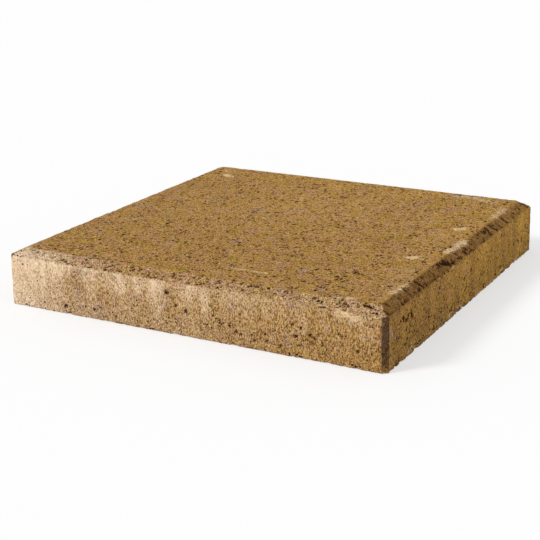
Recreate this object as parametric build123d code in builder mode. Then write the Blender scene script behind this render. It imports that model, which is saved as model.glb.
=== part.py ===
import os

from build123d import *

os.makedirs("parts", exist_ok=True)

# Square paving slab, dry-cast in a steel mould: one piece of concrete, in millimetres.
# It lies on its bed face, with its origin at the middle of that face and +Z up.
bed_side = 400.0  # across opposite walls at the bed face
thickness = 56.5  # bed face to wearing face
mould_draft = 0.7  # how far each wall leans in, from the bed face up to the bevel

# The bevel that runs round the wearing face
bevel_width = 11.9
bevel_height = 6.2

# The upright corners and the corners of the wearing face are clipped at 45 degrees
wall_corner_leg = 4.0
face_corner_leg = 3.3

# Arrises are a little rounded by the mould and by handling
upright_arris_radius = 1.5
bevel_foot_radius = 1.2
bevel_ridge_radius = 2.5

# Sizes that follow from the ones above
wall_height = thickness - bevel_height
bevel_foot_side = bed_side - 2 * mould_draft
face_side = bevel_foot_side - 2 * bevel_width

# Each outline of the casting: its height, its width across the flats and its clipped corner
outlines = (
    (0.0, bed_side, wall_corner_leg),
    (wall_height, bevel_foot_side, wall_corner_leg),
    (thickness, face_side, face_corner_leg),
)

with BuildPart() as paving_slab:
    # Walls and bevel are straight between the three outlines
    for height, across_flats, corner_leg in outlines:
        with BuildSketch(Plane.XY.offset(height)) as outline:
            Rectangle(across_flats, across_flats)
            chamfer(outline.vertices(), length=corner_leg)
            fillet(outline.vertices(), radius=upright_arris_radius)
    loft(ruled=True)

    # The ridge round the wearing face, then the foot of the bevel at the top of the walls
    ridge = paving_slab.edges().filter_by_position(Axis.Z, thickness, thickness)
    fillet(ridge, radius=bevel_ridge_radius)
    bevel_foot = paving_slab.edges().filter_by_position(Axis.Z, wall_height, wall_height)
    fillet(bevel_foot, radius=bevel_foot_radius)

paving_slab.part.label = "paving_slab"
export_step(paving_slab.part, "parts/paving_slab.step")

litres = paving_slab.part.volume / 1e6
print(f"paving_slab: {litres:.3f} litres, {paving_slab.part.bounding_box().size}")
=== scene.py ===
import math
import random

import bmesh
import bpy
import numpy as np
from mathutils import Matrix, Vector, kdtree, noise


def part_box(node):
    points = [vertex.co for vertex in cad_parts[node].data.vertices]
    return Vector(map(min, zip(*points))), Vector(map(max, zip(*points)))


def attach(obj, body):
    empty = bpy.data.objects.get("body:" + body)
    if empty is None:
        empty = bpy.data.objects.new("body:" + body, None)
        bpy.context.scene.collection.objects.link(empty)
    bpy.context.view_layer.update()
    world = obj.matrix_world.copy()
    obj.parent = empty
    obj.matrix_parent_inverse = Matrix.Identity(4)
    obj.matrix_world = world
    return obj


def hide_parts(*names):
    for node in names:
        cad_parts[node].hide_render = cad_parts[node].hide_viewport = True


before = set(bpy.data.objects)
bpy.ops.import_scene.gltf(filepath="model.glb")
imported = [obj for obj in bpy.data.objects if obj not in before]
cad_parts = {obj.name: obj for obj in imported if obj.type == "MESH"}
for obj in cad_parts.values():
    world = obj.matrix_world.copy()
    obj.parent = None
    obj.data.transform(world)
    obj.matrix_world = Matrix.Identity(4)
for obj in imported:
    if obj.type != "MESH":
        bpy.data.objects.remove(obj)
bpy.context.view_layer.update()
bedCorner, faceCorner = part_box("paving_slab")
mm = 0.001  # the scene is in metres, and a size marked so is in millimetres
print("frame loaded")


# Camera, at the photograph's own viewing angle
cameraSet = dict(
    lens=82.22,
    place=(0.57082, -1.07978, 0.40409),
    turn=28.643,  # degrees round from looking along +Y
    dip=18.101,
    roll=-0.713,
)


def addCamera(c):
    data = bpy.data.cameras.new("camera")
    data.lens = c["lens"]
    data.clip_end = 100
    camera = bpy.data.objects.new("camera", data)
    bpy.context.scene.collection.objects.link(camera)
    turn = Matrix.Rotation(math.radians(c["turn"]), 4, "Z")
    dip = Matrix.Rotation(math.radians(90 - c["dip"]), 4, "X")
    roll = Matrix.Rotation(math.radians(c["roll"]), 4, "Z")
    camera.matrix_world = Matrix.Translation(c["place"]) @ turn @ dip @ roll
    bpy.context.scene.camera = camera


addCamera(cameraSet)
print("camera placed")


# The casting. The CAD solid gives its overall size, and the rest repeats the solid's own sizes
casting = dict(
    bedSide=faceCorner.x - bedCorner.x,
    thickness=faceCorner.z - bedCorner.z,
    mouldDraft=0.7 * mm,
    bevelWidth=11.9 * mm,
    bevelHeight=6.2 * mm,
    wallCornerLeg=4.0 * mm,
    faceCornerLeg=3.3 * mm,
    across=232,  # faces along each side of the wearing face
    bevelRows=8,
    wallRows=30,
    bedRows=3,
    bedMargin=5 * mm,  # the finely divided rim of the bed face
    bedStep=4,  # inside that rim, one face of the bed stands for this many along the wall
    cornerSmoothings=12,  # how often the grid is evened out near its clipped corners
    arrisSoftening=0.5,
)
thickness = casting["thickness"]
wallHeight = thickness - casting["bevelHeight"]
bedHalf = casting["bedSide"] / 2
footHalf = bedHalf - casting["mouldDraft"]
faceHalf = footHalf - casting["bevelWidth"]


# Where a spot on the rim of the unit square lands on a square outline with clipped corners.
# Near a corner, the spots are shared out again between the straight part and half of the clip
def onOutline(spot, half, leg, height):
    fromCorner = (1 - min(abs(spot.x), abs(spot.y))) * half
    clipHalf = leg / math.sqrt(2)
    inward, along = 0, fromCorner
    if fromCorner < 2 * leg:
        run = fromCorner * (leg + clipHalf) / (2 * leg)
        if run < clipHalf:
            inward = leg / 2 - run / math.sqrt(2)
            along = leg / 2 + run / math.sqrt(2)
        else:
            along = leg + run - clipHalf
    far, near = half - inward, half - along
    if abs(spot.x) >= abs(spot.y):
        return Vector((math.copysign(far, spot.x), math.copysign(near, spot.y), height))
    return Vector((math.copysign(near, spot.x), math.copysign(far, spot.y), height))


# A flat grid whose rim follows the clipped outline. Each vertex keeps its spot on the unit square
def clippedGrid(bm, squareSpot, segments, half, leg, height):
    made = bmesh.ops.create_grid(bm, x_segments=segments, y_segments=segments, size=1)["verts"]
    for vert in made:
        spot = vert.co.copy()
        vert[squareSpot] = spot
        vert.co = onOutline(spot, half, leg, height) if vert.is_boundary else spot * half
        vert.co.z = height
    reach = 2 * (3 * leg + 2 * half / segments)
    nearCorners = [v for v in made if not v.is_boundary and 2 * half - abs(v.co.x) - abs(v.co.y) < reach]
    for _ in range(casting["cornerSmoothings"]):
        bmesh.ops.smooth_vert(bm, verts=nearCorners, factor=0.5, use_axis_x=True, use_axis_y=True)
    return made


# Draws the open rim out to the next outline, in so many rows, and gives back the new rim
def drawOut(bm, squareSpot, rim, half, leg, height, rows):
    made = bmesh.ops.extrude_edge_only(bm, edges=rim)["geom"]
    ring = {g for g in made if isinstance(g, bmesh.types.BMVert)}
    newRim = [g for g in made if isinstance(g, bmesh.types.BMEdge) and ring.issuperset(g.verts)]
    drawn = [e for v in ring for e in v.link_edges if not ring.issuperset(e.verts)]
    for vert in ring:
        vert.co = onOutline(vert[squareSpot], half, leg, height)
    bmesh.ops.subdivide_edges(bm, edges=drawn, cuts=rows - 1)
    return newRim


# Fills the bed face with a coarser grid. The rim is first welded down to the vertices that both have
def closeBed(bm, squareSpot, rim, half, c):
    coarseSteps = c["across"] // c["bedStep"]
    nearest = {}
    shared = {}
    for vert in {v for e in rim for v in e.verts}:
        spot = vert[squareSpot]
        column = (spot.x + 1) / 2 * coarseSteps
        row = (spot.y + 1) / 2 * coarseSteps
        nearest[vert] = (round(column), round(row))
        if max(abs(column - round(column)), abs(row - round(row))) < 0.01:
            shared[nearest[vert]] = vert
    welds = {vert: shared[spot] for vert, spot in nearest.items() if shared[spot] is not vert}
    bmesh.ops.weld_verts(bm, targetmap=welds)
    bed = clippedGrid(bm, squareSpot, coarseSteps, half, c["wallCornerLeg"], 0)
    joins = [v for v in bed if v.is_boundary] + list(shared.values())
    bmesh.ops.remove_doubles(bm, verts=joins, dist=0.01 * mm)


# The wearing face is a fine grid, and its rim is drawn out down the bevel, down the wall and in
# under the bed
def castBlock(c):
    bm = bmesh.new()
    squareSpot = bm.verts.layers.float_vector.new("squareSpot")
    clippedGrid(bm, squareSpot, c["across"], faceHalf, c["faceCornerLeg"], thickness)
    ridge = [e for e in bm.edges if e.is_boundary]
    leg = c["wallCornerLeg"]
    marginHalf = bedHalf - c["bedMargin"]
    foot = drawOut(bm, squareSpot, ridge, footHalf, leg, wallHeight, c["bevelRows"])
    bedEdge = drawOut(bm, squareSpot, foot, bedHalf, leg, 0, c["wallRows"])
    margin = drawOut(bm, squareSpot, bedEdge, marginHalf, leg, 0, c["bedRows"])
    closeBed(bm, squareSpot, margin, marginHalf, c)
    bmesh.ops.recalc_face_normals(bm, faces=bm.faces)
    softened = list({v for e in ridge + foot for v in e.verts})
    bmesh.ops.smooth_vert(
        bm, verts=softened, factor=c["arrisSoftening"], use_axis_x=True, use_axis_y=True, use_axis_z=True
    )
    return bm


# The map that the finish is baked through: the wearing face large, a strip for each wall, the bed small
bakeMap = dict(faceScale=1.86, bedScale=0.58, gap=0.006)


def layOutMap(bm, m):
    squareSpot = bm.verts.layers.float_vector["squareSpot"]
    uv = bm.loops.layers.uv.new("OFBake")
    scale = m["faceScale"]
    start = 2 * bedHalf * scale + 2 * m["gap"]
    strip = wallHeight * scale + m["gap"]
    for face in bm.faces:
        centre = face.calc_center_median()
        facing = face.normal.z
        sideways = abs(centre.x) >= abs(centre.y)
        second = centre.x > 0 if sideways else centre.y > 0
        for loop in face.loops:
            co = loop.vert.co
            if abs(facing) < 0.5:
                spot = loop.vert[squareSpot]
                along = m["gap"] + (1 + (spot.y if sideways else spot.x)) * bedHalf * scale
                rise = start + strip * second + co.z * scale
                loop[uv].uv = (rise, along) if sideways else (along, rise)
            elif facing > 0:
                loop[uv].uv = [m["gap"] + (bedHalf + q) * scale for q in co.xy]
            else:
                loop[uv].uv = [start + (bedHalf + q) * m["bedScale"] for q in co.xy]


block = castBlock(casting)
layOutMap(block, bakeMap)
block.normal_update()
print("block cast:", len(block.verts), "vertices,", len(block.faces), "faces")


# Relief. Every move is inwards, so the casting stays inside its mould
relief = dict(
    rollDepth=0.3 * mm,  # slow unevenness of the struck face
    rollLength=55 * mm,
    gritDepth=dict(open=1.0 * mm, wall=0.25 * mm, wallFoot=0.7 * mm),  # grains in the paste
    gritLength=4.6 * mm,
    crumbDepth=1.1 * mm,  # the bevel, where the mix did not close up
    crumbLength=3.8 * mm,
    nibbleDepth=1.0 * mm,  # along arrises
    nibbleShares=dict(foot=0.8, ridge=0.35, bed=0.7, bedOnRight=1.5, upright=0.1),
    nibbleLength=5 * mm,
    nibbleWidth=2.2 * mm,
    crackDepth=1.0 * mm,  # across the bevel on the right, and along its foot
    crackLength=5 * mm,
    footCrackLength=7 * mm,
    footCrackWidth=1.8 * mm,
    rightBevelCalm=0.6,  # how much smoother the right bevel came out of the mould
    backRidgeCalm=0.6,  # how much straighter the ridge at the back is
    backRidgeWidth=4 * mm,
    pitTries=dict(face=2600, bevel=600, wall=450),
    pitRadius=(0.8 * mm, 2.1 * mm),
    pitDepth=(0.4 * mm, 1.4 * mm),
    pitCrowding=20 * mm,  # from one crowd of pits to the next
    leastRadius=1.3 * mm,  # the mesh shows nothing smaller
    seed=11,
)

# Larger pits and chips, each as millimetres along its side and up from the bed, radius and depth.
# Along is x on the front, and y on the right
marks = dict(
    front=(
        # In the wall. The last is a chip at the top of its left corner
        (-17, 39, 2.6, 1.8), (-8, 28, 2.0, 1.6), (28, 33.5, 1.7, 1.8), (3, 25, 2.2, 1.0),
        (40, 18, 1.5, 1.0), (55, 13.5, 1.8, 1.5), (60, 12, 1.7, 1.4), (71, 13, 1.5, 1.0),
        (99, 8, 2.2, 1.8), (86, 10, 1.8, 1.3), (114, 20, 2.2, 2.0), (128, 23, 2.2, 1.6),
        (132, 20.5, 1.8, 1.8), (119, 27.5, 1.8, 1.6), (111, 30, 1.6, 1.2), (155, 28.5, 1.6, 1.0),
        (158, 26.5, 1.6, 1.2), (-133, 7.5, 2.6, 2.2), (-129, 1.5, 2.2, 2.0), (-84, 18.5, 1.6, 0.9),
        (-99, 10, 1.8, 1.0), (173, 16, 1.6, 1.0), (-181, 0.8, 2.0, 1.5), (-197.6, 50.5, 4.6, 1.4),
        # Along the bevel, from left to right
        (-175, 55.9, 1.4, 1.0), (-170, 54.4, 1.6, 1.2), (-137, 52.8, 1.8, 1.8), (-132, 52, 1.7, 1.5),
        (-128, 51.2, 1.4, 1.2), (-109, 53.4, 1.7, 1.8), (-105, 51, 1.6, 1.6), (-91, 55, 1.3, 0.9),
        (-62, 55, 1.5, 1.3), (-57, 54, 1.6, 1.4), (-51, 54, 1.7, 1.5), (-46, 52.5, 1.5, 1.4),
        (-39, 52, 1.7, 1.4), (-35, 51, 1.4, 1.2), (-23, 52.7, 1.6, 1.4), (-14, 54, 1.5, 1.2),
        (-5, 53, 1.5, 1.3), (3, 53.3, 1.3, 1.2), (12, 54.7, 1.3, 1.0), (22, 54, 1.3, 1.0),
        (32, 55.4, 1.5, 1.2), (46, 56, 1.5, 1.2), (55, 55.9, 1.5, 1.3), (64, 55.6, 1.6, 1.3),
        (72, 55.8, 1.4, 1.2), (77, 55, 1.5, 1.2), (99, 55.5, 1.3, 1.1), (106, 55.4, 1.4, 1.2),
        (128, 54.9, 1.8, 1.6), (132, 53.5, 1.6, 1.4), (138, 50.3, 1.6, 1.5), (160, 51, 1.4, 1.2),
        (170, 54, 1.5, 1.6), (174.5, 55.6, 2.2, 2.4), (178, 55.3, 2.2, 2.4), (182, 54.9, 2.2, 2.2),
        (188, 52, 1.5, 1.4),
    ),
    right=(
        # A dark group of pits near the front corner
        (-163, 38.5, 2.8, 1.8), (-162.5, 36, 2.6, 1.7), (-156, 33.8, 3.0, 1.9), (-152, 37, 2.6, 1.7),
        (-144, 35, 3.5, 2.0), (-146.5, 39, 2.3, 1.5), (-133, 38.4, 1.7, 1.1),
        # In the rest of the wall
        (-92, 5, 2.4, 1.8), (-104, 22, 1.8, 1.1), (-133, 15.5, 1.8, 1.0), (-12, 28, 2.4, 1.3),
        (44, 4.5, 2.6, 1.6), (121, 24, 2.0, 1.3), (176, 15, 2.0, 1.3), (-68, 28, 2.0, 1.1),
        (-79, 39, 2.1, 1.1), (6, 32, 2.6, 1.4), (5, 8, 2.3, 1.3), (24, 38, 2.1, 1.1), (66, 35, 2.6, 1.4),
        (97, 43, 2.2, 1.1), (140, 22, 2.4, 1.3), (166, 20, 2.8, 1.4), (178, 31, 2.8, 1.4),
        (84, 21, 2.0, 1.1), (-30, 15, 1.9, 1.0),
        # Grains broken out of the bevel
        (-48, 53.8, 3.8, 3.8), (-42, 53.2, 3.4, 3.2), (-53, 54.6, 3.2, 3.0), (-37, 51.6, 3.0, 2.4),
        (-59, 54.9, 2.6, 2.2), (-45, 51.6, 2.6, 2.4),
        # Along the rest of the bevel
        (-88, 53.7, 2.2, 1.9), (-139, 55, 2.0, 1.4), (-3, 52.2, 3.4, 1.8), (4, 53.5, 2.6, 1.5),
        (21, 54, 2.4, 1.6), (49, 55, 2.4, 1.6), (66, 54.5, 2.6, 1.5), (91, 54.5, 2.8, 1.7),
        (149, 53, 2.4, 1.5), (-113, 54, 2.2, 1.4), (-161, 51, 2.4, 1.3), (46, 50.6, 2.0, 1.2),
        # Low down, by the bed
        (-27, 1, 3.0, 0.7), (100, 0.8, 3.0, 0.8), (145, 0.6, 2.6, 0.7),
    ),
)
outwards = dict(front=(0, -1), right=(1, 0), back=(0, 1), left=(-1, 0))


# The point of the plain casting that lies along a side and up from the bed
def onSide(side, along, height):
    if height <= wallHeight:
        out = bedHalf - casting["mouldDraft"] * height / wallHeight
    else:
        out = footHalf - casting["bevelWidth"] * (height - wallHeight) / casting["bevelHeight"]
    outX, outY = outwards[side]
    alongX = along if outX == 0 else 0
    alongY = along if outY == 0 else 0
    return Vector((outX * out + alongX, outY * out + alongY, height))


# A random point of the plain casting, on its wearing face, its bevel or its walls
def spotOn(part, draw):
    if part == "face":
        return Vector((draw.uniform(-faceHalf, faceHalf), draw.uniform(-faceHalf, faceHalf), thickness))
    low, high = (wallHeight, thickness) if part == "bevel" else (0, wallHeight)
    side = draw.choice(list(outwards))
    return onSide(side, draw.uniform(-footHalf, footHalf), draw.uniform(low, high))


def smoothStep(value, low, high):
    t = np.clip((value - low) / (high - low), 0, 1)
    return t * t * (3 - 2 * t)


places = np.array([v.co for v in block.verts])
normals = np.array([v.normal for v in block.verts])
x, y, z = places.T


# One value of layered noise for each vertex, from about -1 to 1, drawn out where the squash is small
def noiseOver(length, octaves, shift, squash=(1, 1, 1)):
    away = Vector((shift, 1.7 * shift, 2.3 * shift))
    return np.array([noise.fractal(Vector(p) / length + away, 1.0, 2.0, octaves) for p in places * squash])


# Which side each vertex is on. The front takes in a little more, round its clipped corners
onFront = (-y >= abs(x) - 2 * mm) & (y < 0)
onRight = x > abs(y)
onLeft = -x > abs(y)
onBack = y > abs(x)

# How far each vertex is from the arrises, and which part of the casting it is on
outness = np.maximum(abs(x), abs(y))
heights = (0, wallHeight, thickness)
cornerLegs = (casting["wallCornerLeg"], casting["wallCornerLeg"], casting["faceCornerLeg"])
halfHere = np.interp(z, heights, (bedHalf, footHalf, faceHalf))
cornerGap = 2 * halfHere - np.interp(z, heights, cornerLegs) - abs(x) - abs(y)
slopeRise = casting["bevelHeight"] / math.hypot(casting["bevelWidth"], casting["bevelHeight"])
onBed = (z < 0.3 * mm) & (outness < bedHalf - 0.4 * mm)
onFace = (z > thickness - 0.5 * mm) & (outness < faceHalf - 0.5 * mm)
onBevel = (z > wallHeight) & ~onFace
onWall = ~(onBed | onFace | onBevel)
toFoot = np.where(z < wallHeight, wallHeight - z, (z - wallHeight) / slopeRise)
toRidge = np.where(onFace, faceHalf - outness, (thickness - z) / slopeRise)
toBed = np.where(onBed, bedHalf - outness, z)
toUpright = np.where(onFace | onBed, 1.0, abs(cornerGap))
bevelShare = smoothStep(np.where(onFace, -toRidge, toRidge), -0.8 * mm, 0.8 * mm)
bevelShare *= smoothStep(np.where(z < wallHeight, -toFoot, toFoot), -1.8 * mm, 0.8 * mm)

# The mix is coarser on the bevel and low on the walls, where the mould closed it up least
coarse = np.where(onWall, 1 - smoothStep(z, 8 * mm, 36 * mm), 0.0) * 0.9
coarse = np.maximum(coarse, bevelShare * np.where(onRight, 0.35, 1.0))
coarse = np.maximum(coarse, np.where(onBed, 0.6, np.where(onFace, 0.4, 0.0)))


# Cracks across the bevel on the right, and a broken line of them along its foot
def crackShares(r):
    across = noiseOver(r["crackLength"], octaves=2, shift=93.0, squash=(0.35, 1, 0.35))
    across = smoothStep(across, 0.16, 0.42)
    broken = smoothStep(noiseOver(r["footCrackLength"], octaves=3, shift=97.0), -0.1, 0.3)
    alongFoot = broken * np.exp(-(((toFoot - mm) / r["footCrackWidth"]) ** 2))
    return np.maximum(across, alongFoot) * bevelShare * onRight


def castRelief(r, cracks):
    depth = r["rollDepth"] * (0.5 + 0.5 * noiseOver(r["rollLength"], octaves=2, shift=3.0))
    grit = 0.5 + 0.5 * noiseOver(r["gritLength"], octaves=3, shift=8.0)
    deep = r["gritDepth"]
    wallGrit = deep["wall"] + (deep["wallFoot"] - deep["wall"]) * coarse * ~onRight
    struck = 1 - r["rightBevelCalm"] * bevelShare * onRight
    depth += np.where(onWall, wallGrit, deep["open"]) * grit * struck
    crumb = np.clip(noiseOver(r["crumbLength"], octaves=3, shift=21.0) + 0.15, 0, 1)
    patches = smoothStep(noiseOver(8 * r["crumbLength"], octaves=2, shift=30.0), -0.5, 0.3)
    depth += r["crumbDepth"] * crumb * bevelShare * (0.35 + 0.65 * patches) * struck
    depth += r["crackDepth"] * cracks
    nibble = smoothStep(noiseOver(r["nibbleLength"], octaves=3, shift=44.0), -0.05, 0.7)
    shares = r["nibbleShares"]
    arrises = (
        (toFoot, shares["foot"]),
        (toRidge, shares["ridge"]),
        (toBed, np.where(onRight, shares["bedOnRight"], shares["bed"])),
        (toUpright, shares["upright"]),
    )
    for distance, share in arrises:
        depth += share * r["nibbleDepth"] * nibble * np.exp(-((distance / r["nibbleWidth"]) ** 2))
    straight = r["backRidgeCalm"] * onBack * np.exp(-((toRidge / r["backRidgeWidth"]) ** 2))
    return np.clip(depth * (1 - straight), 0, None)


# Deepens the relief round a point, with a ragged rim, and notes how hollow each vertex is
def scoop(tree, depth, hollow, centre, reach, deep, shade):
    for _, index, distance in tree.find_range(centre, reach * 1.3):
        ragged = 1 + 0.5 * noise.noise(Vector(places[index]) / (2.2 * mm))
        share = 1 - (distance / (reach * ragged)) ** 2
        if share > 0:
            depth[index] = max(depth[index], depth[index] * 0.5 + deep * share)
            hollow[index] = max(hollow[index], min(1, shade * share))


def scatterPits(r, depth):
    tree = kdtree.KDTree(len(places))
    for index, place in enumerate(places):
        tree.insert(place, index)
    tree.balance()
    hollow = np.zeros(len(places))
    draw = random.Random(r["seed"])
    for part, tries in r["pitTries"].items():
        for _ in range(tries):
            place = spotOn(part, draw)
            crowd = 0.5 + 1.5 * noise.noise(place / r["pitCrowding"])
            if draw.random() > crowd:
                continue
            place += Vector([draw.uniform(-mm, mm) for _ in range(3)])
            large = draw.random() ** 2
            radius = r["pitRadius"][0] + (r["pitRadius"][1] - r["pitRadius"][0]) * large
            deep = r["pitDepth"][0] + (r["pitDepth"][1] - r["pitDepth"][0]) * large
            scoop(tree, depth, hollow, place, max(radius, r["leastRadius"]), deep, 0.8 + 0.8 * large)
    for side, spots in marks.items():
        for along, height, radius, deep in spots:
            centre = onSide(side, along * mm, height * mm)
            scoop(tree, depth, hollow, centre, (radius + 0.4) * mm, deep * mm, 1.5)
    return hollow


cracks = crackShares(relief)
depth = castRelief(relief, cracks)
hollow = np.maximum(scatterPits(relief, depth), 0.85 * cracks)
depth[onBed & (toBed > relief["nibbleWidth"])] = 0
moved = places - normals * depth[:, None]
moved[:, 2] = np.clip(moved[:, 2], 0, thickness)
print("relief cut, deepest", round(float(depth.max()) / mm, 2), "mm")


# Pale scuffs, as strokes: two ends on the slab (x, y, z) and half a width, all in millimetres, and
# then a strength. The strongest also get painted highlights of chips catching the sun
scuffs = (
    ((118, 181, 56), (143, 178, 56), 7.0, 0.9),
    ((150, 174, 56), (166, 166, 56), 6.0, 0.8),
    ((184, -24, 56), (187, 19, 56), 5.5, 1.15),
    ((184, 112, 56), (184, 151, 56), 5.0, 0.9),
    ((166, 52, 56), (172, 60, 56), 5.0, 1.4),
    ((160, -55, 56), (164, -51, 56), 6.0, 1.35),
    ((184, -155, 56), (187, -129, 56), 4.0, 1.0),
    ((178, -150, 56), (172, -90, 56), 14.0, 0.25),
    ((146, -187, 56), (160, -182, 56), 4.5, 1.0),
    ((-160, 152, 56), (-153, 150, 56), 6.0, 1.4),
    ((-158, -59, 56), (-150, -58, 56), 4.0, 0.8),
    ((-175, 172, 56), (-168, 170, 56), 4.0, 0.8),
    # This stroke, on the hip of the front-left corner, is a painted highlight along that edge
    ((-192, -190, 54), (-184, -187, 56), 4.0, 1.0),
    ((40, 54, 56), (44, 56, 56), 3.5, 0.7),
    ((26, -155, 56), (64, -155, 56), 1.8, 1.3),
    ((154, -199, 49), (170, -199, 45), 3.6, 1.2),
    ((174, -199, 47), (190, -199, 48), 2.4, 0.6),
    ((199, -148, 4), (200, -145, 9), 2.4, 1.5),
    ((199, -154, 2), (200, -152, 4), 2.0, 1.3),
    ((200, -53, 3), (200, -46, 5), 2.6, 1.4),
    ((200, -28, 3), (200, -24, 6), 2.6, 1.5),
    ((200, -76, 2), (200, -72, 3), 2.0, 1.2),
    ((200, 20, 1), (200, 28, 2), 2.0, 1.2),
    ((200, 60, 1), (200, 64, 2), 2.2, 1.3),
    ((200, 99, 3), (200, 103, 5), 2.6, 1.4),
    ((200, 144, 1), (200, 150, 3), 2.6, 1.5),
    ((199, -46, 50), (199, -43, 50), 1.6, 1.3),
)

# Greyer patches on the front wall, where it is dry-streaked
greys = (
    ((-118, -200, 22), (-113, -200, 42), 8.0, 0.9),
    ((-91, -200, 6), (-90, -200, 18), 7.0, 0.8),
    ((-18, -200, 26), (-16, -200, 40), 6.0, 0.6),
    ((92, -200, 18), (94, -200, 44), 6.0, 0.5),
    ((150, -200, 8), (152, -200, 20), 7.0, 0.4),
)

# Upright streaks on the front wall where more paste was dragged up, or less where the strength is
# negative
drags = (
    ((-196, -200, 8), (-196, -200, 50), 9.0, 0.1),
    ((-141, -200, 38), (-140, -200, 50), 8.0, 0.12),
    ((-116, -200, 30), (-114, -200, 42), 9.0, -0.15),
    ((-102, -200, 30), (-101, -200, 50), 7.0, 0.12),
    ((-87, -200, 8), (-86, -200, 22), 9.0, -0.08),
    ((-68, -200, 36), (-67, -200, 50), 8.0, 0.12),
    ((-28, -200, 14), (-30, -200, 50), 7.0, 0.16),
    ((-14, -200, 22), (-13, -200, 42), 8.0, -0.16),
    ((6, -200, 38), (8, -200, 50), 7.0, 0.1),
    ((24, -200, 32), (23, -200, 50), 5.0, 0.1),
    ((50, -200, 38), (52, -200, 50), 8.0, 0.1),
    ((121, -200, 26), (120, -200, 48), 5.0, 0.12),
    ((155, -200, 44), (170, -200, 44), 6.0, 0.12),
    ((184, -200, 24), (185, -200, 42), 6.0, 0.08),
)


# How far each vertex lies inside one stroke
def strokeShare(start, end, halfWidth):
    start = np.array(start, float) * mm
    run = np.array(end, float) * mm - start
    t = np.clip((places - start) @ run / (run @ run), 0, 1)
    gap = np.linalg.norm(places - start - t[:, None] * run, axis=1)
    return 1 - smoothStep(gap, 0.3 * halfWidth * mm, 1.5 * halfWidth * mm)


# The strongest of the strokes at each vertex
def strokeLevel(strokes):
    level = np.zeros(len(places))
    for start, end, halfWidth, strength in strokes:
        level = np.maximum(level, strength * strokeShare(start, end, halfWidth))
    return level


# Levels that change along a side, each as millimetres along and a level.
# How much cream covers the front wall, high up and low down, and its bevel, from left to right:
# partly cream paste and partly a painted pool of light that fades from the left end
creamAndLightHigh = (
    (-195, 1.3), (-140, 0.92), (-90, 0.5), (0, 0.46), (70, 0.26), (110, 0.13), (150, 0.15), (200, 0.13),
)
creamAndLightLow = ((-195, 0.8), (-130, 0.34), (-60, 0.2), (0, 0.2), (90, 0.06), (200, 0.02))
creamAndLightBevel = ((-200, 0.9), (-165, 0.65), (-120, 0.25), (-60, 0.1), (60, 0.15), (200, 0.25))

# The right wall's golden tone, painted shade in the hue its shaded side takes, and how much lighter or
# darker it is, from the near corner to the far one
goldenShadeRight = ((-200, 0.35), (-185, 0.3), (-150, 0.28), (-80, 0.32), (50, 0.58), (200, 0.68))
liftRight = ((-200, 0.04), (-190, 0.02), (-175, -0.1), (-140, -0.12), (-80, -0.08), (20, 0.0), (200, 0.02))


def levelAlong(curve, position):
    spots, levels = zip(*curve)
    return np.interp(position / mm, spots, levels)


# Where the paints of the concrete lie
paints = dict(
    streakLength=11 * mm,  # upright streaks of the walls
    streakSquash=(1, 1, 0.12),
    broadStreakLength=20 * mm,
    broadStreakSquash=(1, 1, 0.1),
    creamRise=(27 * mm, 54 * mm),  # heights between which the low cream gives way to the high
    creamWander=14 * mm,  # how far the streaks move those heights
    creamPatching=0.3,
    creamPatchLength=14 * mm,
    creamPatchSquash=(1, 1, 0.4),
    leftRun=-80 * mm,  # the whole left wall has the cream that the front has here
    backRun=0.4,  # the back has the cream of this middle share of the front
    backStain=0.4,  # of the bevel at the back and on the left
    farStainLoss=0.4,  # how much weaker the right bevel's stain is at its far end
    farCornerSpan=(14 * mm, 5 * mm),  # how far from the back the stain begins and ends its fading
    farCornerLoss=0.8,
    nearCornerDarkReach=(0.3 * mm, 2.4 * mm),
    nearCornerDarkFoot=(-4 * mm, 10 * mm),
    faceMiddle=(-10 * mm, 70 * mm),  # a lighter patch of the wearing face
    faceMiddleReach=(120 * mm, 100 * mm),
    faceLift=dict(middle=0.12, rest=-0.035, bands=0.05, broad=0.05),
    bandLength=14 * mm,
    bandSquash=(0.3, 1, 1),
    broadLength=40 * mm,
    footHeights=(5 * mm, 28 * mm),
    footPaintedLight=dict(right=0.18, others=0.07),  # the foot of the walls is painted lighter, against the shade near the floor
    streakLift=dict(right=0.22, others=0.06),
    goldenShadeStreaking=0.6,
    goldenFace=0.2,  # on the wearing face, towards the right and the back
    goldenFaceFrom=(120 * mm, 175 * mm),
    goldenFaceAlong=(-130 * mm, -20 * mm),
    bevelBlush=0.1,
)


# Cream paste, and towards the left end of the front a painted pool of light in it. The right wall
# and its bevel have none
def creamFilmAndLight(p, streaks, right):
    run = np.where(onFront, x, np.where(onLeft, p["leftRun"], x * p["backRun"]))
    high = smoothStep(z + p["creamWander"] * streaks, *p["creamRise"])
    filmAndLight = levelAlong(creamAndLightLow, run) * (1 - high) + levelAlong(creamAndLightHigh, run) * high
    patches = noiseOver(p["creamPatchLength"], octaves=3, shift=66.0, squash=p["creamPatchSquash"])
    filmAndLight *= 1 + p["creamPatching"] * patches
    filmAndLight = np.where(right, 0.0, filmAndLight) * onWall
    filmAndLight = filmAndLight * (1 - bevelShare) + levelAlong(creamAndLightBevel, run) * bevelShare * ~right
    for start, end, halfWidth, strength in drags:
        filmAndLight += onWall * strength * strokeShare(start, end, halfWidth)
    return filmAndLight


# The darker olive of the bevel: a stain, and on the right also painted shade of its pitted face.
# The front has none
def bevelStainAndShade(p, right):
    onTheRight = 1.0 - p["farStainLoss"] * smoothStep(y, 0, bedHalf)
    start, end = p["farCornerSpan"]
    stain = bevelShare * np.where(onFront, 0.0, np.where(right, onTheRight, p["backStain"]))
    return stain * (1 - p["farCornerLoss"] * smoothStep(y, bedHalf - start, bedHalf - end))


# Darkens the clipped corner nearest the camera
def nearCornerDarkening(p):
    nearCorner = onWall * (1 - smoothStep(cornerGap, *p["nearCornerDarkReach"])) * (x > 0) * (y < 0)
    return nearCorner * smoothStep(z, *p["nearCornerDarkFoot"])
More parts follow.
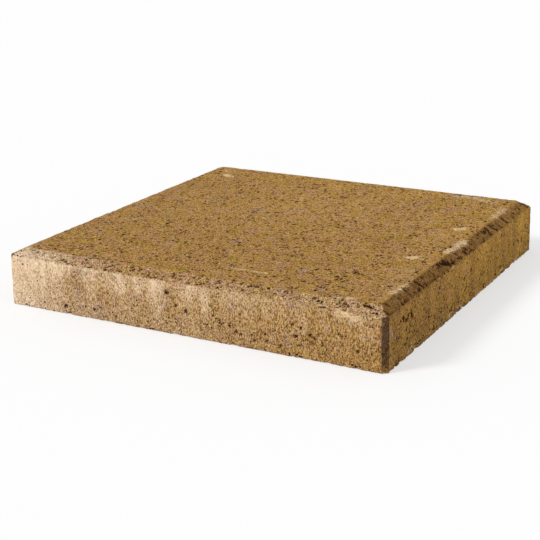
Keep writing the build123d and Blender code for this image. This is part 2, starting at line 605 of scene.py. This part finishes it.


# How much lighter or darker than the mix each vertex is. At the foot of the walls it is painted
# light, against the shade near the floor
def toneLift(p, streaks, broadStreaks, right):
    acrossMiddle, alongMiddle = p["faceMiddle"]
    reachX, reachY = p["faceMiddleReach"]
    middle = np.exp(-(((x - acrossMiddle) / reachX) ** 2) - ((y - alongMiddle) / reachY) ** 2)
    bands = noiseOver(p["bandLength"], octaves=3, shift=71.0, squash=p["bandSquash"])
    broad = noiseOver(p["broadLength"], octaves=3, shift=76.0)
    w = p["faceLift"]
    faceLift = w["middle"] * middle + w["rest"] + w["bands"] * bands + w["broad"] * broad
    foot = p["footPaintedLight"]
    # Painted light along the foot of the walls, stronger on the right
    footPaintedLight = np.where(right, foot["right"], foot["others"]) * (1 - smoothStep(z, *p["footHeights"]))
    rightLift = levelAlong(liftRight, y)
    streak = p["streakLift"]
    wallLift = np.where(right, rightLift + streak["right"] * broadStreaks, streak["others"] * streaks)
    wallLift = wallLift + footPaintedLight
    return np.where(onFace, faceLift, np.where(onWall, wallLift, np.where(right, rightLift, 0.0)))


# Golden: on the right wall painted shade, on the wearing face towards the right and the back a tone of the
# mix
def goldenAndShadeTone(p, broadStreaks, right):
    onRightWall = right * onWall * (levelAlong(goldenShadeRight, y) * (1 + p["goldenShadeStreaking"] * broadStreaks))
    onTheFace = p["goldenFace"] * smoothStep(np.maximum(x, y), *p["goldenFaceFrom"])
    onTheFace = onTheFace * smoothStep(y, *p["goldenFaceAlong"])
    return np.where(onFace, onTheFace, onRightWall)


# How far each paint or habit of the mix reaches each vertex, mostly from 0 to 1
def paintShares(p):
    right = onRight & ~onFront
    streaks = noiseOver(p["streakLength"], octaves=3, shift=61.0, squash=p["streakSquash"])
    broadStreaks = noiseOver(p["broadStreakLength"], octaves=3, shift=81.0, squash=p["broadStreakSquash"])
    return dict(
        hollow=hollow,
        coarse=coarse,
        # Cream paste, with painted light towards the left end of the front
        filmAndLight=creamFilmAndLight(p, streaks, right),
        stain=bevelStainAndShade(p, right),
        corner=nearCornerDarkening(p),
        goldenAndShade=goldenAndShadeTone(p, broadStreaks, right),
        wall=onWall * (1 - bevelShare),
        # Where the mix is closed up, the larger voids are rarer
        closed=np.where(onWall, np.where(right, 0.6, 1.0), 0.2 + 0.7 * bevelShare),
        # How strongly the tone changes from grain to grain
        grit=np.where(onWall, np.where(right, 0.85, 0.95), 1 - 0.3 * bevelShare * right),
        scuff=strokeLevel(scuffs),
        grey=strokeLevel(greys),
        lift=toneLift(p, streaks, broadStreaks, right),
        blush=p["bevelBlush"] * bevelShare * ~right,
    )


def makePiece(name, bm, shares):
    for vert, place in zip(bm.verts, moved):
        vert.co = place
    mesh = bpy.data.meshes.new(name)
    bm.to_mesh(mesh)
    bm.free()
    mesh.attributes.remove(mesh.attributes["squareSpot"])
    mesh.polygons.foreach_set("use_smooth", [True] * len(mesh.polygons))
    for label, values in shares.items():
        attribute = mesh.attributes.new(label, "FLOAT", "POINT")
        attribute.data.foreach_set("value", values.astype(np.float32))
    piece = bpy.data.objects.new(name, mesh)
    bpy.context.scene.collection.objects.link(piece)
    return piece


slabShares = paintShares(paints)
slab = makePiece("slab_casting", block, slabShares)
print("slab made:", len(slab.data.vertices), "vertices")


# Paint colours are written as they look, red, green and blue from 0 to 255
def paint(red, green, blue):
    def linear(level):
        level /= 255
        return level / 12.92 if level <= 0.04045 else ((level + 0.055) / 1.055) ** 2.4

    return (linear(red), linear(green), linear(blue), 1)


def feed(tree, socket, value):
    if isinstance(value, bpy.types.NodeSocket):
        tree.links.new(value, socket)
    else:
        socket.default_value = value


def maths(tree, operation, *values, clamp=False):
    node = tree.nodes.new("ShaderNodeMath")
    node.operation = operation
    node.use_clamp = clamp
    for socket, value in zip(node.inputs, values):
        feed(tree, socket, value)
    return node.outputs[0]


def times(tree, first, second):
    return maths(tree, "MULTIPLY", first, second)


# A value times its weight, on top of a base
def added(tree, value, weight, base):
    return maths(tree, "MULTIPLY_ADD", value, weight, base)


# Every value that the weights name, each times its weight, on top of a base
def summed(tree, base, weights, values):
    for name, weight in weights.items():
        base = added(tree, values[name], weight, base)
    return base


# From the first value to the second, by a share
def towards(tree, first, second, part):
    return added(tree, maths(tree, "SUBTRACT", second, first), part, first)


def mixed(tree, part, first, second, blend="MIX"):
    node = tree.nodes.new("ShaderNodeMix")
    node.data_type = "RGBA"
    node.blend_type = blend
    feed(tree, node.inputs["Factor"], part)
    feed(tree, node.inputs[6], first)
    feed(tree, node.inputs[7], second)
    return node.outputs[2]


# Turns the part of a value between low and high into 0 to 1, with soft ends
def between(tree, value, low, high):
    node = tree.nodes.new("ShaderNodeMapRange")
    node.interpolation_type = "SMOOTHSTEP"
    feed(tree, node.inputs["Value"], value)
    node.inputs["From Min"].default_value = low
    node.inputs["From Max"].default_value = high
    return node.outputs["Result"]


# Mostly light, with fewer and deeper darks: one less the square of how far the value is below one
def skewed(tree, value):
    below = maths(tree, "SUBTRACT", 1.0, value)
    return maths(tree, "SUBTRACT", 1.0, times(tree, below, below))


# One of the shares painted on the slab
def painted(tree, name):
    node = tree.nodes.new("ShaderNodeAttribute")
    node.attribute_name = name
    return node.outputs["Fac"]


# Noise whose features are about so many millimetres across. The span of it that is used becomes 0 to 1
def cloud(tree, place, size, span, detail=2.0, roughness=0.6, squash=(1, 1, 1), shift=0.0):
    mapping = tree.nodes.new("ShaderNodeMapping")
    tree.links.new(place, mapping.inputs["Vector"])
    mapping.inputs["Scale"].default_value = squash
    mapping.inputs["Location"].default_value = (shift, shift, shift)
    node = tree.nodes.new("ShaderNodeTexNoise")
    tree.links.new(mapping.outputs[0], node.inputs["Vector"])
    node.inputs["Scale"].default_value = 1 / (size * mm)
    node.inputs["Detail"].default_value = detail
    node.inputs["Roughness"].default_value = roughness
    return between(tree, node.outputs[0], *span)


# Cells about so many millimetres across: how far to the middle of each, and its three random values
def cells(tree, place, size):
    node = tree.nodes.new("ShaderNodeTexVoronoi")
    tree.links.new(place, node.inputs["Vector"])
    node.inputs["Scale"].default_value = 1 / (size * mm)
    chances = tree.nodes.new("ShaderNodeSeparateColor")
    tree.links.new(node.outputs["Color"], chances.inputs[0])
    return node.outputs["Distance"], chances.outputs


concrete = dict(
    tan=paint(182, 137, 64),
    ochre=paint(179, 136, 55),
    rose=paint(186, 136, 84),
    cream=paint(250, 219, 181),
    # Golden, on the right wall painted shade
    goldenAndShade=paint(204, 152, 53),
    wallTan=paint(165, 124, 67),
    # Olive of the bevel, on the right also painted shade
    oliveStainAndShade=paint(136, 97, 45),
    lavenderGrain=paint(158, 142, 172),
    cornerBrown=paint(70, 48, 36),
    paleScuff=paint(238, 208, 160),
    # Painted highlight of chips that catch the sun
    paintedChipHighlight=paint(255, 210, 158),
    paleGrain=paint(226, 194, 146),
    # Dark grains; also painted shade in gaps and round voids
    darkGrainAndShade=paint(104, 56, 16),
    # Painted shade inside voids and pits
    pitShadeBrown=paint(44, 22, 5),
    greyPatch=paint(158, 140, 140),
    # How far some of them cover what lies under them
    roseCover=0.8,
    wallTanCover=0.65,
    greyCover=0.35,
    gapShadeCover=0.4,
    rimShadeCover=0.45,
    voidShadeCover=0.97,
    filmBase=0.63,
    filmWeights=dict(drip=0.24, cloudy=0.3, streak=0.2),
    # The tone of the sand, away from the walls and on them. As it darkens, green and blue fade faster
    openTone=0.09,
    openWeights=dict(sand=1.1, medium=0.12, grain=0.6),
    wallTone=0.21,
    wallWeights=dict(sand=1.0, medium=0.03, grain=0.41),
    filmCalm=-0.7,  # the paste, and the painted light in it, evens out the grains under it
    darkestTone=0.05,
    greenPower=1.23,
    bluePower=1.75,
    warmth=0.28,  # how far apart the warmest and the coolest grains are
    greenBase=0.63,
    greenWeights=dict(tint=0.14, warm=0.3),
    # Which of a cell's random values make its grain pale, dark, or lavender within so much of one value
    paleGrains=(0.94, 0.96),
    darkGrains=(0.11, 0.09),
    lavenderGrains=(0.5, 0.014),
    grainSize=1.15,
    lavenderSize=2.0,
    lavenderRim=(0.6, 0.35),  # how far from its middle such a grain ends
    roughGrainSize=2.0,
    gapSpan=(0.5, 0.85),
    scuffSpan=(0.75, 1.3),
    chipHighlightSpan=(1.5, 1.75),
    # Voids of two sizes: millimetres, how much rarer, and how much rarer still where closed up
    pitSizes=((2.0, 0.03, 0.0), (3.5, -0.07, 0.21)),
    pitLimit=0.72,  # a lower limit makes more and larger pits
    voidSpan=(0.0, 0.07),
    rimShadeSpan=(-0.2, 0.0),
    cutVoidSpan=(0.62, 0.85),  # the same for the pits that are cut into the mesh
    cutRimShadeSpan=(0.3, 0.7),
    pitWeights=dict(crowd=-0.2, coarse=-0.11, wall=0.03, paste=0.1, hollow=-0.2),
    reliefDepth=1.8 * mm,
    reliefStrength=0.8,
    reliefWeights=dict(medium=0.35, dust=0.16, streak=0.1, gaps=-0.9, voids=-0.9),
    roughness=0.9,
    gloss=0.14,
    clouds=dict(
        mottle=dict(size=26, span=(0.38, 0.62), detail=3.0, roughness=0.5),
        rosy=dict(size=16, span=(0.4, 0.64), detail=4.0, shift=5.0),
        drip=dict(size=9, span=(0.36, 0.64), roughness=0.5, squash=(1, 1, 0.12), shift=2.0),
        cloudy=dict(size=17, span=(0.36, 0.64), detail=3.0, shift=7.0),
        streak=dict(size=1.8, span=(0.34, 0.66), detail=3.0, roughness=0.65, squash=(1, 1, 0.22), shift=12.0),
        ashen=dict(size=20, span=(0.6, 0.72), detail=3.0, shift=9.0),
        patchy=dict(size=7, span=(0.35, 0.6), detail=3.0, roughness=0.65, shift=14.0),
        fine=dict(size=1.2, span=(0.36, 0.64), shift=20.0),
        medium=dict(size=3.4, span=(0.36, 0.64), shift=24.0),
        dust=dict(size=0.72, span=(0.33, 0.67), detail=1.0, roughness=0.5, squash=(1, 1, 0.3), shift=52.0),
        tint=dict(size=3.2, span=(0.36, 0.64), detail=3.0, roughness=0.7, shift=33.0),
        scuffBreak=dict(size=1.9, span=(0.38, 0.62), squash=(0.5, 1, 1), shift=27.0),
        crowd=dict(size=14, span=(0.38, 0.62), detail=3.0, shift=40.0),
    ),
)


# Each step below takes the colour so far and gives back the next. The values, v, are the clouds and
# the shares painted on the slab, by name, and a step may add its own to them

# Slow changes of tone through the mix
def baseMix(tree, c, v, colour):
    colour = mixed(tree, v["mottle"], colour, c["ochre"])
    colour = mixed(tree, added(tree, v["rosy"], c["roseCover"], v["blush"]), colour, c["rose"])
    colour = mixed(tree, times(tree, v["wall"], c["wallTanCover"]), colour, c["wallTan"])
    # The golden of the right wall is painted shade
    return mixed(tree, v["goldenAndShade"], colour, c["goldenAndShade"])


# Cream paste dragged up the walls by the mould, in upright drips and streaks, with painted light in
# it towards the left end of the front, and grey patches
def creamOver(tree, c, v, colour):
    cover = summed(tree, c["filmBase"], c["filmWeights"], v)
    v["paste"] = maths(tree, "MULTIPLY", v["filmAndLight"], cover, clamp=True)
    colour = mixed(tree, v["paste"], colour, c["cream"])
    grey = maths(tree, "MAXIMUM", v["ashen"], times(tree, v["grey"], v["cloudy"]))
    return mixed(tree, times(tree, grey, c["greyCover"]), colour, c["greyPatch"])


# Olive on the bevel: a stain, and on the right also painted shade of its pits
def stainAndShadeOver(tree, c, v, colour):
    v["stained"] = times(tree, v["stain"], added(tree, v["patchy"], 0.3, 0.7))
    return mixed(tree, v["stained"], colour, c["oliveStainAndShade"])


# Sand: tone and tint change from grain to grain. Darker grains are redder, and paler ones are whiter
def sandTone(tree, c, v, colour):
    _, chances = cells(tree, v["place"], c["grainSize"])
    onOpen = dict(v, sand=skewed(tree, v["fine"]), grain=chances[0])
    onWalls = dict(v, sand=skewed(tree, v["dust"]), grain=chances[0])
    openTone = summed(tree, c["openTone"], c["openWeights"], onOpen)
    wallTone = summed(tree, c["wallTone"], c["wallWeights"], onWalls)
    calm = added(tree, v["paste"], c["filmCalm"], v["grit"])
    tone = towards(tree, 1.0, towards(tree, openTone, wallTone, v["wall"]), calm)
    tone = maths(tree, "MAXIMUM", maths(tree, "ADD", tone, v["lift"]), c["darkestTone"])
    warm = added(tree, maths(tree, "SUBTRACT", chances[1], 0.5), c["warmth"], 1.0)
    warm = towards(tree, 1.0, warm, calm)
    green = summed(tree, c["greenBase"], c["greenWeights"], dict(v, warm=warm))
    toned = tree.nodes.new("ShaderNodeCombineColor")
    feed(tree, toned.inputs[0], tone)
    feed(tree, toned.inputs[1], times(tree, maths(tree, "POWER", tone, c["greenPower"]), green))
    cool = maths(tree, "SUBTRACT", 2.0, warm)
    feed(tree, toned.inputs[2], times(tree, maths(tree, "POWER", tone, c["bluePower"]), cool))
    return mixed(tree, 1.0, colour, toned.outputs[0], blend="MULTIPLY")


# A few grains are pale or dark: the pale ones fainter under the stain and its painted shade, the
# dark ones under the paste and its painted light
def oddGrains(tree, c, v, colour):
    _, chances = cells(tree, v["place"], c["grainSize"])
    pale = times(tree, between(tree, chances[2], *c["paleGrains"]), added(tree, v["stain"], -0.5, 0.5))
    colour = mixed(tree, pale, colour, c["paleGrain"])
    dark = times(tree, between(tree, chances[2], *c["darkGrains"]), added(tree, v["paste"], -0.45, 0.68))
    return mixed(tree, dark, colour, c["darkGrainAndShade"])


# Scuffs where the paste is bruised pale, with painted highlights in them where chips catch the sun
def scuffOver(tree, c, v, colour):
    scuff = added(tree, v["scuffBreak"], 0.8, times(tree, v["scuff"], 0.8))
    scuff = between(tree, scuff, *c["scuffSpan"])
    v["scuffed"] = times(tree, scuff, added(tree, v["fine"], 0.35, 0.65))
    colour = mixed(tree, v["scuffed"], colour, c["paleScuff"])
    chipHighlight = between(tree, added(tree, v["scuffBreak"], 0.7, v["scuff"]), *c["chipHighlightSpan"])
    return mixed(tree, chipHighlight, colour, c["paintedChipHighlight"])


# Dark brown on the nearest clipped corner
def cornerOver(tree, c, v, colour):
    part = times(tree, v["corner"], added(tree, v["fine"], -0.26, 0.96))
    return mixed(tree, part, colour, c["cornerBrown"])


# Gaps between the bigger grains where the mix is coarse, painted darker as the shade in them
def gapsOver(tree, c, v, colour):
    fromMiddle, _ = cells(tree, v["place"], c["roughGrainSize"])
    v["gaps"] = times(tree, between(tree, fromMiddle, *c["gapSpan"]), v["coarse"])
    return mixed(tree, times(tree, v["gaps"], c["gapShadeCover"]), colour, c["darkGrainAndShade"])


# Rare lavender grains, fainter on the walls and under the stain and its painted shade
def lavenderOver(tree, c, v, colour):
    fromMiddle, chances = cells(tree, v["place"], c["lavenderSize"])
    part = maths(tree, "COMPARE", chances[1], *c["lavenderGrains"])
    part = times(tree, part, between(tree, fromMiddle, *c["lavenderRim"]))
    part = times(tree, part, added(tree, v["wall"], -0.35, 0.6))
    part = times(tree, part, maths(tree, "SUBTRACT", 1.0, v["stained"]))
    return mixed(tree, part, colour, c["lavenderGrain"])


# Voids, at most one to a cell: each is larger the lower the limit is that its cell must pass.
# Each is painted near-black as the shade inside it, in a rim of painted shade. The pits that are cut
# into the mesh are darkened with the same painted shade
def voidsOver(tree, c, v, colour):
    limit = summed(tree, c["pitLimit"], c["pitWeights"], v)
    rims = []
    for size, rarer, rarerClosed in c["pitSizes"]:
        fromMiddle, chances = cells(tree, v["place"], size)
        cut = added(tree, v["closed"], rarerClosed, maths(tree, "ADD", limit, rarer))
        rims.append(maths(tree, "SUBTRACT", maths(tree, "SUBTRACT", chances[0], cut), fromMiddle))
    rim = maths(tree, "MAXIMUM", *rims)
    rim = added(tree, v["fine"], 0.2, maths(tree, "SUBTRACT", rim, 0.1))
    mark = added(tree, maths(tree, "SUBTRACT", v["fine"], 0.5), 0.55, v["hollow"])
    void, cutVoid = between(tree, rim, *c["voidSpan"]), between(tree, mark, *c["cutVoidSpan"])
    rimShade, cutRimShade = between(tree, rim, *c["rimShadeSpan"]), between(tree, mark, *c["cutRimShadeSpan"])
    v["voids"] = maths(tree, "MAXIMUM", void, cutVoid)
    rimShade = maths(tree, "MAXIMUM", rimShade, cutRimShade)
    colour = mixed(tree, times(tree, rimShade, c["rimShadeCover"]), colour, c["darkGrainAndShade"])
    return mixed(tree, times(tree, v["voids"], c["voidShadeCover"]), colour, c["pitShadeBrown"])


# Fine relief that the mesh is too coarse for
def fineRelief(tree, c, v):
    bump = tree.nodes.new("ShaderNodeBump")
    bump.inputs["Strength"].default_value = c["reliefStrength"]
    bump.inputs["Distance"].default_value = c["reliefDepth"]
    height = summed(tree, times(tree, v["fine"], 0.5), c["reliefWeights"], v)
    tree.links.new(height, bump.inputs["Height"])
    return bump.outputs["Normal"]


def makeConcrete(c, labels):
    material = bpy.data.materials.new("dryCastConcrete")
    material.use_nodes = True
    tree = material.node_tree
    shader = tree.nodes["Principled BSDF"]
    place = tree.nodes.new("ShaderNodeTexCoord").outputs["Object"]
    v = {name: cloud(tree, place, **sizes) for name, sizes in c["clouds"].items()}
    v.update({label: painted(tree, label) for label in labels}, place=place)
    steps = (
        baseMix, creamOver, stainAndShadeOver, sandTone, oddGrains,
        scuffOver, cornerOver, gapsOver, lavenderOver, voidsOver,
    )
    colour = c["tan"]
    for step in steps:
        colour = step(tree, c, v, colour)
    tree.links.new(colour, shader.inputs["Base Color"])
    tree.links.new(fineRelief(tree, c, v), shader.inputs["Normal"])
    rough = added(tree, v["fine"], 0.1, c["roughness"] - 0.05)
    rough = maths(tree, "SUBTRACT", rough, times(tree, v["scuffed"], 0.12))
    tree.links.new(rough, shader.inputs["Roughness"])
    shader.inputs["Specular IOR Level"].default_value = c["gloss"]
    return material


slab.data.materials.append(makeConcrete(concrete, slabShares))
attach(slab, "root")
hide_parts("paving_slab")
print("concrete mixed")


# Studio: a white floor that still takes the slab's shadow, a sun for the key light and an even sky
studio = dict(
    floorSide=24.0,
    floorDrop=0.2 * mm,
    floorWhite=0.96,
    floorGlow=0.55,  # share of plain white that the camera sees in the floor
    skyLight=0.64,
    sunStrength=1.9,
    sunAzimuth=42.0,  # degrees from straight in front of the front wall, towards the left
    sunHeight=38.0,
    sunSoftness=16.0,
)


# A shader that the camera, mirrors and glass see as plain white, by the given share
def whiteWhenSeen(tree, lit, white, shareSeen):
    path = tree.nodes.new("ShaderNodeLightPath")
    seen = maths(tree, "MAXIMUM", path.outputs["Is Camera Ray"], path.outputs["Is Glossy Ray"])
    seen = maths(tree, "MAXIMUM", seen, path.outputs["Is Transmission Ray"])
    mix = tree.nodes.new("ShaderNodeMixShader")
    tree.links.new(times(tree, seen, shareSeen), mix.inputs[0])
    tree.links.new(lit, mix.inputs[1])
    tree.links.new(white, mix.inputs[2])
    return mix.outputs[0]


def addFloor(s):
    bm = bmesh.new()
    bmesh.ops.create_grid(bm, x_segments=1, y_segments=1, size=s["floorSide"] / 2)
    bmesh.ops.translate(bm, vec=(0, 0, -s["floorDrop"]), verts=bm.verts)
    mesh = bpy.data.meshes.new("floor")
    bm.to_mesh(mesh)
    bm.free()
    floor = bpy.data.objects.new("floor", mesh)
    bpy.context.scene.collection.objects.link(floor)
    material = bpy.data.materials.new("whiteFloor")
    material.use_nodes = True
    tree = material.node_tree
    shader = tree.nodes["Principled BSDF"]
    shader.inputs["Base Color"].default_value = (s["floorWhite"],) * 3 + (1,)
    shader.inputs["Roughness"].default_value = 1.0
    shader.inputs["Specular IOR Level"].default_value = 0.0
    glow = tree.nodes.new("ShaderNodeEmission")
    surface = whiteWhenSeen(tree, shader.outputs[0], glow.outputs[0], s["floorGlow"])
    tree.links.new(surface, tree.nodes["Material Output"].inputs["Surface"])
    mesh.materials.append(material)


def addSky(s):
    world = bpy.data.worlds.new("studio")
    bpy.context.scene.world = world
    world.use_nodes = True
    tree = world.node_tree
    sky = tree.nodes["Background"]
    sky.inputs["Color"].default_value = (1, 1, 1, 1)
    sky.inputs["Strength"].default_value = s["skyLight"]
    white = tree.nodes.new("ShaderNodeBackground")
    white.inputs["Color"].default_value = (1, 1, 1, 1)
    surface = whiteWhenSeen(tree, sky.outputs[0], white.outputs[0], 1.0)
    tree.links.new(surface, tree.nodes["World Output"].inputs["Surface"])


def addSun(s):
    sun = bpy.data.lights.new("sun", "SUN")
    sun.energy = s["sunStrength"]
    sun.angle = math.radians(s["sunSoftness"])
    lamp = bpy.data.objects.new("sun", sun)
    bpy.context.scene.collection.objects.link(lamp)
    turn = Matrix.Rotation(math.radians(-s["sunAzimuth"]), 4, "Z")
    tilt = Matrix.Rotation(math.radians(90 - s["sunHeight"]), 4, "X")
    lamp.matrix_world = turn @ tilt


addFloor(studio)
addSky(studio)
addSun(studio)
bpy.context.scene.view_settings.view_transform = "Standard"
print("studio lit")
